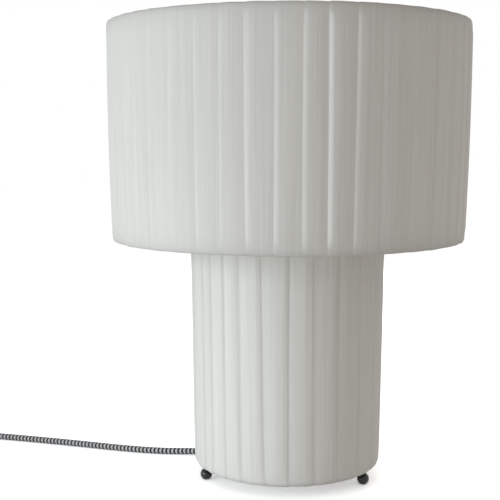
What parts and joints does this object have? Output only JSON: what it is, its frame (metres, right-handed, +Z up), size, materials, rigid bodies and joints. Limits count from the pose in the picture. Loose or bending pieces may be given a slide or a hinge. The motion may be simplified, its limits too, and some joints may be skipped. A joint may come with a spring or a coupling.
{
  "type": "pleated table lamp",
  "caption": "Table lamp with a wide pleated drum shade on a narrower pleated drum base, ball feet, a screw-in bulb and a braided cord with a switch and plug.",
  "frame": {"origin": "on the floor under the lamp's axis, at the height of the feet's flats", "axes": "+Z up along the lamp's axis, -Y towards the front of the lamp, cord leaving towards -X"},
  "size_m": [0.6134, 0.363, 0.453],
  "materials": {
    "shade_cloth": "pleated ivory cloth, matt, fine vertical slub",
    "base_cloth": "pleated ivory cloth, matt, fine vertical slub",
    "lining_sheet": "translucent white lampshade lining sheet",
    "white_wire": "white powder coat over welded steel wire",
    "black_ball": "glossy black lacquer",
    "zinc": "bright zinc plate",
    "holder_white": "white moulded thermoplastic",
    "holder_ceramic": "unglazed white steatite",
    "brass": "bare brass, lightly dulled",
    "bulb_glass": "clear blown glass",
    "stem_glass": "clear pressed glass",
    "bulb_metal": "rolled aluminium screw cap",
    "bulb_black": "black glass insulator",
    "filament": "yellow phosphor coating",
    "lead_brown": "insulated conductor",
    "cord_braid": "black and white braided textile",
    "cord_plastic": "black moulded plastic, fine satin",
    "tie_band": "black woven hook-and-loop band",
    "pin_nickel": "nickel plate"
  },
  "bodies": {
    "lamp": {"base_bottom_ring": "white_wire", "base_top_ring": "white_wire", "base_uprights": "white_wire", "base_spider": "white_wire", "foot_studs": "zinc", "ball_foot_left": "black_ball", "ball_foot_right": "black_ball", "ball_foot_rear": "black_ball", "base_lining": "lining_sheet", "base_cover": "base_cloth", "nipple": "zinc", "hub_washer": "zinc", "nipple_nut": "zinc", "cord_grip": "cord_plastic", "grip_screw": "zinc", "holder_cap": "holder_white", "holder_core": "holder_ceramic", "holder_shell": "holder_white", "screw_sleeve": "brass", "centre_contact": "brass", "holder_leads": "lead_brown", "shade_top_ring": "white_wire", "shade_bottom_ring": "white_wire", "shade_spider": "white_wire", "clamp_ring": "holder_white", "shade_lining": "lining_sheet", "shade_cover": "shade_cloth", "cord_lead": "cord_braid", "cord_coil": "cord_braid", "coil_tie": "tie_band", "switch_base": "cord_plastic", "switch_cover": "cord_plastic", "switch_terminals": "brass", "switch_screws": "zinc", "plug_body": "cord_plastic", "plug_pins": "pin_nickel"},
    "bulb_rise": {"bulb_contact": "brass"},
    "bulb": {"bulb_glass": "bulb_glass", "bulb_cap": "bulb_metal", "bulb_insulator": "bulb_black", "bulb_stem": "stem_glass", "bulb_filaments": "filament"},
    "rocker": {"switch_rocker": "cord_plastic"}
  },
  "joints": [
    {"name": "bulb_screw_rise", "type": "slide", "parent": "lamp", "child": "bulb_rise", "axis": [0, 0, 1], "range_m": [0, 0.01824]},
    {"name": "bulb_turn", "type": "hinge", "parent": "bulb_rise", "child": "bulb", "pos_m": [0, 0, 0.28], "axis": [0, 0, 1], "range_deg": [0, 1800]},
    {"name": "switch_rock", "type": "hinge", "parent": "lamp", "child": "rocker", "pos_m": [-0.415, 0.012, 0.015], "axis": [1, 0, 0], "range_deg": [0, 16]}
  ],
  "couplings": [
    {"joint": "bulb_screw_rise", "follows": "bulb_turn", "m_per_rad": 0.00057757}
  ]
}
